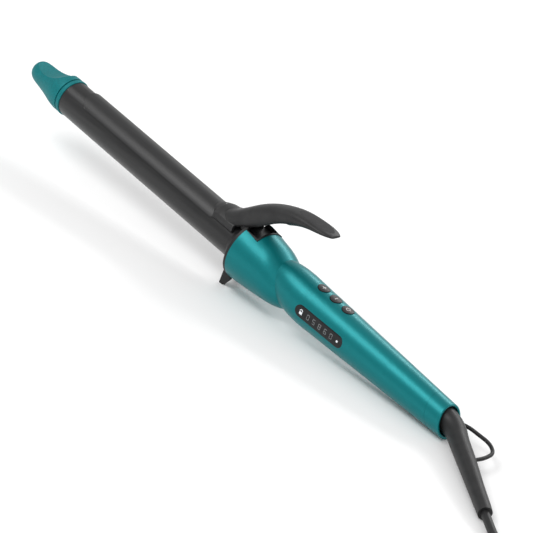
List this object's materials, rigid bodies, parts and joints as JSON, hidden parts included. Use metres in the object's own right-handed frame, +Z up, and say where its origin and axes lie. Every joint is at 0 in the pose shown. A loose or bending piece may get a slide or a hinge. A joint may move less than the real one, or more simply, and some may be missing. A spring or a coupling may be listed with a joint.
{
  "type": "curling iron",
  "caption": "Curling iron with a round heated barrel, a sprung clamp plate on a thumb lever, a moulded handle with buttons and a small display, and a cord on a swivel.",
  "frame": {"origin": "centre of the tool's footprint, on the surface that its feet and its handle's rear edge stand on; the cord isn't counted", "axes": "+X runs along the tool from the cool tip to the cord end, +Z is up from the surface, and -Y is the side of the display"},
  "size_m": [0.7968, 0.0958, 0.0732],
  "materials": {
    "teal_plastic": "pearl satin lacquer",
    "black_plastic": "fine matte",
    "black_coating": "satin heat-proof coating",
    "aluminium": "drawn",
    "steel": "zinc plated",
    "ceramic": "unglazed",
    "brass": "bare",
    "smoked_window": "gloss",
    "lights": "lit",
    "circuit_board": "solder mask",
    "electronics": "moulded",
    "wire_jacket": "glass braid",
    "cord_rubber": "satin",
    "pad_rubber": "textured"
  },
  "bodies": {
    "handle": {"barrel_tube": "black_coating", "heater_core": "ceramic", "heater_spreaders": "aluminium", "thermal_fuse": "aluminium", "heater_leads": "wire_jacket", "cool_tip": "teal_plastic", "tip_plug": "black_plastic", "tip_screw": "steel", "hinge_pin": "steel", "clamp_spring": "steel", "collar": "black_plastic", "handle_upper_shell": "teal_plastic", "handle_lower_shell": "teal_plastic", "shell_screws": "steel", "rear_ring": "teal_plastic", "display_window": "smoked_window", "display_board": "circuit_board", "display_leds": "lights", "control_board": "circuit_board", "board_parts": "electronics", "switch_plungers": "black_plastic", "swivel_housing": "black_plastic", "swivel_contacts": "brass"},
    "clamp": {"clamp_plate": "black_coating", "clamp_screws": "steel", "lever": "black_plastic", "thumb_pad": "pad_rubber"},
    "button_plus": {"button_plus": "black_plastic"},
    "button_minus": {"button_minus": "black_plastic"},
    "button_power": {"button_power": "black_plastic"},
    "cord_end": {"swivel_spigot": "black_plastic", "strain_relief": "cord_rubber", "hang_loop": "black_plastic", "power_cord": "cord_rubber", "cord_hank": "cord_rubber", "cord_tail": "cord_rubber", "cord_tie": "black_plastic", "plug_body": "cord_rubber", "plug_blades": "brass"}
  },
  "joints": [
    {"name": "clamp_hinge", "type": "hinge", "parent": "handle", "child": "clamp", "pos_m": [0.0159, 0, 0.04554], "axis": [0, 1, 0], "range_deg": [0, 20], "stiffness_Nm_per_rad": 0.35, "springref_deg": -20.05},
    {"name": "button_plus_press", "type": "slide", "parent": "handle", "child": "button_plus", "axis": [-0.0868, 0, -0.9962], "range_m": [0, 0.0006], "stiffness_N_per_m": 800, "springref_m": -0.0006},
    {"name": "button_minus_press", "type": "slide", "parent": "handle", "child": "button_minus", "axis": [-0.0868, 0, -0.9962], "range_m": [0, 0.0006], "stiffness_N_per_m": 800, "springref_m": -0.0006},
    {"name": "button_power_press", "type": "slide", "parent": "handle", "child": "button_power", "axis": [-0.0868, 0, -0.9962], "range_m": [0, 0.0006], "stiffness_N_per_m": 800, "springref_m": -0.0006},
    {"name": "cord_swivel", "type": "hinge", "parent": "handle", "child": "cord_end", "pos_m": [0.18968, 0, 0.01233], "axis": [0.9962, 0, -0.0868], "continuous": true}
  ]
}
